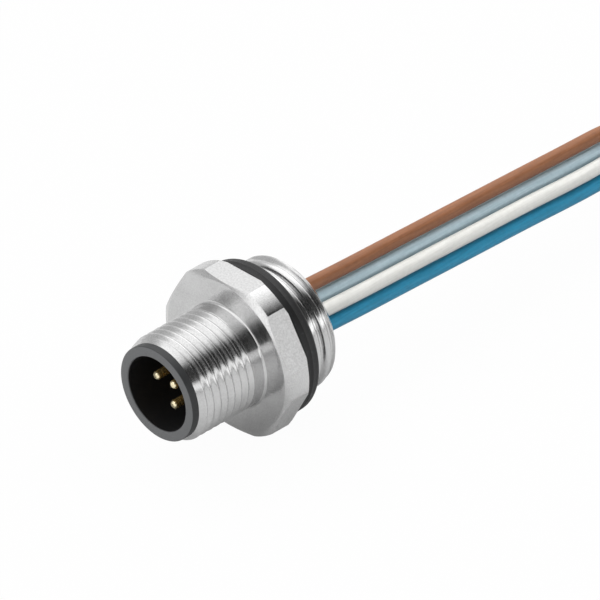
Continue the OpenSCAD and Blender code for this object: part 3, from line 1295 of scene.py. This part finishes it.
    def build(self) -> list[bpy.types.Object]:
        """Build the housing as one closed shell.

        Returns:
            The housing.
        """
        sleeve = self.thread(
            "housing_shell", self.mating, self.y_sleeve, self.y_thread_end, self.mating_phase,
            self.mating_limit,
        )
        y_fillet = self.y_flange - self.fillet
        sleeve.edit_open_edge(self.y_thread_end)
        sleeve.rings_on(
            (self.neck_r, self.y_thread_end + self.neck_step), (self.neck_r, y_fillet),
            *arc((self.neck_r + self.fillet, y_fillet), self.fillet, 180, 90, 6)[1:],
            (self.face_seam_r, self.y_flange),
        )
        sleeve.edit_open_edge(self.y_sleeve)
        e = self.mouth_edge
        sleeve.rings_on(
            (self.bore_r + e, self.y_sleeve), (self.bore_r, self.y_sleeve + e), (self.bore_r, self.y_step),
            (self.step_seams[0], self.y_step),
        )
        sleeve.leave()

        rear = self.thread(
            "rear", self.panel, self.y_groove_end, self.y_rear, self.panel_phase, self.panel_limit
        )
        rear.edit_open_edge(self.y_groove_end)
        rear.rings_on((self.groove_r, self.y_groove_end), (self.groove_r, 0.0), (self.seat_seam_r, 0.0))
        rear.edit_open_edge(self.y_rear)
        e = self.rear_mouth_edge
        rear.rings_on(
            (self.rear_bore_r + e, self.y_rear), (self.rear_bore_r, self.y_rear - e),
            (self.rear_bore_r, self.y_step), (self.step_seams[1], self.y_step),
        )
        rear.leave()

        sleeve.join(rear, self.hexagon())
        sleeve.close_flat(self.y_flange, self.face_seam_r, self.web_r)
        sleeve.close_flat(self.y_step, *self.step_seams)
        sleeve.close_flat(0.0, self.seat_seam_r, self.web_r)
        sleeve.heal()
        housing = sleeve.finish("housing", "nickel_plated_brass", NickelPlate().make(), 34.0, even=True)
        self.dress_flats(housing)
        return [housing]


# Ring, carrier, contacts, potting, tie


@dataclass
class SealingRing:
    """The rubber ring in the groove behind the flange, with its mould's fine flash round the outside."""

    inner_r: float = 7.0
    outer_r: float = 8.88
    width: float = 2.2
    rounding: float = 0.5
    flash: float = 0.03
    flash_top: float = 0.015
    flash_foot: float = 0.05

    def build(self) -> list[bpy.types.Object]:
        """Turn the ring.

        Returns:
            The ring.
        """
        e, top, half = self.rounding, self.outer_r - self.flash, self.width / 2
        inner, outer, far = self.inner_r + e, top - e, self.width - e
        outline = [
            *arc((inner, e), e, 180, 270, 8), *arc((outer, e), e, 270, 360, 8),
            (top, half - self.flash_foot), (self.outer_r, half - self.flash_top),
            (self.outer_r, half + self.flash_top), (top, half + self.flash_foot),
            *arc((outer, far), e, 0, 90, 8), *arc((inner, far), e, 90, 180, 8),
        ]
        ring = Shape.turned("seal_ring", [*outline, outline[0]], 144)
        return [ring.finish("sealing_ring", "black_rubber", MouldedRubber().make(), 50.0)]


@dataclass
class Carrier:
    """The insulating body: rim, shroud with its coding rib, and the floor that holds the contacts."""

    y_rim: float = -13.1
    y_sleeve: float = -12.2
    rim_r: float = 5.45
    rim_edge: float = 0.12
    mouth_edge: float = 0.1
    body_r: float = 4.9
    cup_r: float = 4.3
    cup_fillet: float = 0.25
    y_floor: float = -4.6
    y_rear: float = -1.6
    rear_edge: float = 0.2
    key_w: float = 1.2
    key_h: float = 0.7
    key_setback: float = 1.0
    key_edge: float = 0.12
    key_root: Pair = (0.2, 0.3)  # how far the rib reaches into the wall and into the floor
    key_angle: float = 45.0
    pad_r: float = 1.15
    pad_h: float = 0.18
    pad_edge: float = 0.1
    pad_root: float = 0.3
    shank_r: float = 0.7
    collar_r: float = 1.0
    y_collar: float = -3.6
    collar_l: float = 1.0

    def rib(self) -> Shape:
        """Model the coding rib, rooted in the wall and the floor.

        Returns:
            The rib.
        """
        wall, floor = self.key_root
        long = self.y_floor - self.y_rim - self.key_setback + floor
        rib = Shape.start(
            "rib", bpy.ops.mesh.primitive_cube_add, size=1.0,
            location=(self.cup_r - self.key_h / 2 + wall / 2, self.y_rim + self.key_setback + long / 2, 0),
            scale=(self.key_h + wall, long, self.key_w),
        )
        rib.break_edges(self.key_edge, 3)
        rib.obj.data.transform(Matrix.Rotation(-math.radians(self.key_angle), 4, "Y"))
        return rib

    def build(self) -> list[bpy.types.Object]:
        """Turn the body, add the rib and the pads round the contacts, and bore the contacts' holes.

        Returns:
            The insulating body.
        """
        e, f, floor, rear = self.rim_edge, self.cup_fillet, self.y_floor, self.y_rear
        outline = [
            (0, floor), *arc((self.cup_r - f, floor - f), f, 90, 0, 4),
            (self.cup_r, self.y_rim + self.mouth_edge), (self.cup_r + self.mouth_edge, self.y_rim),
            *arc((self.rim_r - e, self.y_rim + e), e, 270, 360, 4), (self.rim_r, self.y_sleeve),
            (self.body_r, self.y_sleeve), (self.body_r, rear - self.rear_edge),
            (self.body_r - self.rear_edge, rear), (0, rear),
        ]
        body = Shape.turned("insulating_body", outline, 128)
        body.cut(self.rib(), Cut.ADD)
        root, top, e = floor + self.pad_root, floor - self.pad_h, self.pad_edge
        pad = [(0, top), (self.pad_r - e, top), (self.pad_r, top + e), (self.pad_r, root), (0, root)]
        y, end = self.y_collar, self.y_collar + self.collar_l
        hole = [
            (0, floor - 1), (self.shank_r, floor - 1), (self.shank_r, y), (self.collar_r, y),
            (self.collar_r, end), (self.shank_r, end), (self.shank_r, rear + 1), (0, rear + 1),
        ]
        for wire in WIRES:
            place = Matrix.Translation((wire.pin[0], 0, wire.pin[1]))
            for name, profile, operation in (("pad", pad, Cut.ADD), ("hole", hole, Cut.TAKE_OFF)):
                tool = Shape.turned(name, profile, 40)
                tool.obj.data.transform(place)
                body.cut(tool, operation)
        return [body.finish("contact_carrier", "black_plastic", MouldedPlastic().make(), 34.0)]


@dataclass
class Contacts:
    """Five turned contact pins with solder cups."""

    y_tip: float = -10.9
    tip_rounding: float = 0.34
    pin_r: float = 0.5
    y_shoulder: float = -4.8
    shank_r: float = 0.7
    shoulder_edge: float = 0.05
    shoulder_edge_y: Pair = (0.02, 0.10)
    collar_r: float = 1.0
    y_collar: Pair = (-3.6, -2.6)
    cup_r: float = 0.8
    y_cup: Pair = (-1.6, 0.9)
    cup_edge: float = 0.05
    hole_r: float = 0.42
    y_hole: float = -1.1

    def build(self) -> list[bpy.types.Object]:
        """Turn one pin and copy it to the five places.

        Returns:
            The pins.
        """
        e, (front, back), (start, end) = self.tip_rounding, self.y_collar, self.y_cup
        shoulder, (near, far) = self.y_shoulder, self.shoulder_edge_y
        outline = [
            (0, self.y_tip), *arc((self.pin_r - e, self.y_tip + e), e, 270, 360, 7),
            (self.pin_r, shoulder), (self.shank_r - self.shoulder_edge, shoulder + near),
            (self.shank_r, shoulder + far),
            (self.shank_r, front), (self.collar_r, front), (self.collar_r, back), (self.shank_r, back),
            (self.shank_r, start), (self.cup_r, start), (self.cup_r, end - self.cup_edge),
            (self.cup_r - self.cup_edge, end), (self.hole_r, end), (self.hole_r, self.y_hole),
            (0, self.y_hole),
        ]
        master = Shape.turned("contact", outline, 32)
        gold = GoldPlate().make()
        pins = []
        for number, wire in enumerate(WIRES, 1):
            pin = master.copy(f"contact_pin_{number}", Matrix.Translation((wire.pin[0], 0, wire.pin[1])))
            pins.append(pin.finish(f"pin_{number}", "gold_plated_brass", gold, 40.0))
        master.scrap()
        return pins


@dataclass
class Potting:
    """The casting resin behind the carrier, which creeps up the wall and up each lead."""

    radius: float = 6.19
    y_front: float = -2.6
    y_face: float = 5.7
    rings: int = 30
    creep: float = 0.16
    reach: float = 0.28
    sink: float = 0.02
    lead_r: float = 0.8

    def build(self) -> list[bpy.types.Object]:
        """Turn the plug of resin and raise its face along the wall and the leads.

        Returns:
            The potting.
        """
        rings = [(self.radius * k / self.rings, self.y_face) for k in range(self.rings + 1)]
        body = Shape.turned("resin", [*rings, (self.radius, self.y_front), (0, self.y_front)], 120)
        body.edit(Pick.VERTS, lambda v: abs(v.co.y - self.y_face) < NEAR)

        def rise(co: Vector) -> Vector:
            """Raise a point by how near it is to the wall or to a lead.

            Args:
                co: The point.

            Returns:
                Its new place.
            """
            leads = [math.hypot(co.x - wire.at_exit[0], co.z - wire.at_exit[1]) for wire in WIRES]
            near = max(min(self.radius - from_axis(co), min(leads) - self.lead_r), 0.0)
            return Vector((co.x, co.y + self.creep * math.exp(-near / self.reach) - self.sink, co.z))

        body.place_picked(rise)
        body.leave()
        return [body.finish("potting", "black_resin", CastResin().make(), 60.0)]


@dataclass
class Tie:
    """The textile band round the folded leads, closed in one loop."""

    width: float = 2.4
    thickness: float = 0.5
    y_from: float = 89.8
    half_x: float = 5.15
    low: float = 4.1
    high: float = 6.9
    rounding: float = 0.55
    longest_corner: float = 0.45  # share of a side
    edge: float = 0.12
    seam_x: float = 2.6
    filled: float = 0.98  # share of the thickness that the tape fills

    def build(self) -> list[bpy.types.Object]:
        """Extrude the band's section and round it.

        Returns:
            The band.
        """
        x, t = self.half_x, self.thickness
        corners = [(-x, t), (x, t), (x, self.high), (0.0, self.high), (-x, self.low)]
        line = self.rounded(self.grown(corners, t / 2), self.rounding + t / 2)
        start = line.index(min(line, key=lambda p: abs(p[0] - self.seam_x) + abs(p[1] - self.high - t / 2)))
        loop = [*line[start:], *line[: start + 1]]
        band = Shape.line("band", [(x, self.y_from, FLOOR_Z + z) for x, z in loop])
        band.edit(Pick.VERTS)
        bpy.ops.mesh.remove_doubles(threshold=MERGE)
        bpy.ops.mesh.select_all(action="SELECT")
        bpy.ops.mesh.extrude_region_move(TRANSFORM_OT_translate={"value": (0, self.width, 0)})
        bpy.ops.mesh.select_all(action="SELECT")
        bpy.ops.mesh.normals_make_consistent(inside=False)
        band.leave()
        band.modify("SOLIDIFY", thickness=t * self.filled, offset=0.0, use_even_offset=True)
        band.break_edges(self.edge, 2, 50.0)
        return [band.finish("hank_tie", "black_strap", WovenStrap().make(), 40.0)]

    @staticmethod
    def grown(corners: list[Pair], by: float) -> list[Pair]:
        """Move each side of a closed convex outline outwards.

        Args:
            corners: The outline.
            by: How far.

        Returns:
            The grown outline.
        """
        sides = []
        for (ax, az), (bx, bz) in zip(corners, [*corners[1:], corners[0]]):
            dx, dz = bx - ax, bz - az
            share = by / math.hypot(dx, dz)
            sides.append((ax + dz * share, az - dx * share, dx, dz))
        out = []
        for (px, pz, dx, dz), (qx, qz, ex, ez) in zip([sides[-1], *sides], sides):
            t = ((qx - px) * ez - (qz - pz) * ex) / (dx * ez - dz * ex)
            out.append((px + dx * t, pz + dz * t))
        return out

    def rounded(self, corners: list[Pair], radius: float, steps: int = 6) -> list[Pair]:
        """Round the corners of a closed outline.

        Args:
            corners: The outline.
            radius: The corners' radius.
            steps: How many steps each corner has.

        Returns:
            The rounded outline.
        """
        out = []
        for k in range(len(corners)):
            before, here, after = (Vector(corners[(k + s) % len(corners)]) for s in (-1, 0, 1))
            a, b = before - here, after - here
            reach = min(radius / math.tan(a.angle(b) / 2), min(a.length, b.length) * self.longest_corner)
            p, q = here + a.normalized() * reach, here + b.normalized() * reach
            for t in (j / steps for j in range(steps + 1)):
                out.append(tuple(p * (1 - t) ** 2 + here * 2 * t * (1 - t) + q * t * t))
        return out


# Studio


@dataclass
class Studio:
    """A white table, a sky that gloss sees as boxes and gaps, and three soft lamps."""

    floor_size: float = 6.0
    paper: str = "#B8B8B8"
    camera_glow: float = 0.97
    gloss_glow: float = 0.1
    sky: float = 1.45
    gloss: Pair = (1.3125, 1.75)  # strength as gloss sees it, at the front and at the back
    front_to_back: Pair = (-0.2, 0.45)
    white_pole: Pair = (-0.85, -0.98)
    lamps: Sequence[tuple[str, Point, float, float]] = (
        ("left_box", (-0.45, 0.05, 0.55), 0.45, 3.0),
        ("front_box", (-0.15, -0.80, 0.15), 0.30, 6.0),
        ("rear_box", (0.35, 0.45, 0.55), 0.45, 3.0),
    )
    # Brightness round the connector's axis, by degrees from +X over +Z: a strip low on the right, a dark gap
    # above the right shoulder, a wide box overhead, and grey on the left and below.
    surround: Sequence[tuple[float, str]] = (
        (-180, "#B4B4B4"), (-90, "#7C7C7C"), (-30, "#7E7E7E"), (2, "#7C7C7C"), (8, "#FFFFFF"),
        (19, "#FFFFFF"), (24, "#303030"), (30, "#2A2A2A"), (44, "#2C2C2C"), (58, "#1E1E1E"),
        (66, "#606060"), (74, "#B8B8B8"), (86, "#E8E8E8"), (98, "#FFFFFF"), (130, "#FFFFFF"),
        (141, "#C4C4C4"), (156, "#AEAEAE"), (180, "#B4B4B4"),
    )

    def build_floor(self) -> None:
        """Lay a sheet of white paper, which looks evenly white to the camera."""
        floor = Shape.start(
            "table", bpy.ops.mesh.primitive_plane_add, size=self.floor_size, location=(0, 0, FLOOR_Z * MM)
        ).obj
        paper = Finish("white_paper")
        paper.feed(paper.shader, Base_Color=linear(self.paper), Roughness=0.9)
        ray = paper.add("LightPath").outputs
        share = paper.total(
            (ray["Is Camera Ray"], self.camera_glow), (ray["Is Glossy Ray"], self.gloss_glow),
            (ray["Is Transmission Ray"], self.camera_glow),
        )
        glow = paper.add("Emission", Color=WHITE, Strength=1.0)
        mix = paper.add("MixShader", i0=share, i1=paper.shader, i2=glow)
        paper.feed(paper.output, Surface=mix)
        dress(floor, paper.material)

    def build_sky(self) -> None:
        """Make the world: even light, the surround as gloss sees it, and white to the camera."""
        world = bpy.data.worlds.new("studio")
        bpy.context.scene.world = world
        world.use_nodes = True
        sky = Nodes(world.node_tree)
        way = sky.add("SeparateXYZ", Vector=sky.add("TexCoord").outputs["Generated"]).outputs
        angle = sky.add("Math", {"operation": "ARCTAN2"}, i0=way["Z"], i1=way["X"])
        stops = [(turn / 360 + 0.5, colour) for turn, colour in self.surround]
        around = sky.add("ValToRGB", {"stops": stops}, Fac=sky.total((angle, 1 / TURN), start=0.5))
        ahead = sky.add("MapRange", i0=way["Y"], i1=self.white_pole[0], i2=self.white_pole[1])
        boxes = sky.add("Mix", {"data_type": "RGBA"}, Factor=ahead, i6=around, i7=WHITE).outputs[2]
        (front, back), (weak, strong) = self.front_to_back, self.gloss
        strength = sky.add("MapRange", i0=way["Y"], i1=front, i2=back, i3=weak, i4=strong)
        even, gloss, white = (
            sky.add("Background", Color=colour, Strength=power)
            for colour, power in ((around, self.sky), (boxes, strength), (WHITE, 1.0))
        )
        ray = sky.add("LightPath").outputs
        mixed = sky.add("MixShader", i0=ray["Is Glossy Ray"], i1=even, i2=gloss)
        seen = sky.add("MixShader", i0=ray["Is Camera Ray"], i1=mixed, i2=white)
        sky.add("OutputWorld", Surface=seen)

    def build(self) -> None:
        """Set up the floor, the world and the lamps, which only matt light sees."""
        self.build_floor()
        self.build_sky()
        for name, place, size, power in self.lamps:
            lamp = bpy.data.lights.new(name, "AREA")
            lamp.size = size
            lamp.energy = power
            obj = link(bpy.data.objects.new(name, lamp))
            obj.location = place
            obj.visible_glossy = False
            obj.rotation_euler = (-Vector(place)).to_track_quat("-Z", "Y").to_euler()
        bpy.context.scene.view_settings.view_transform = "Standard"


def main() -> None:
    """Build the object in order and report each piece."""
    logging.basicConfig(level=logging.INFO, format="%(message)s")
    Viewpoint().place()
    for assembly in (Leads(), Housing(), SealingRing(), Carrier(), Contacts(), Potting(), Tie()):
        pieces = assembly.build()
        log.info("%s: %s", type(assembly).__name__, ", ".join(piece.name for piece in pieces))
    Studio().build()


if __name__ == "__main__":
    main()
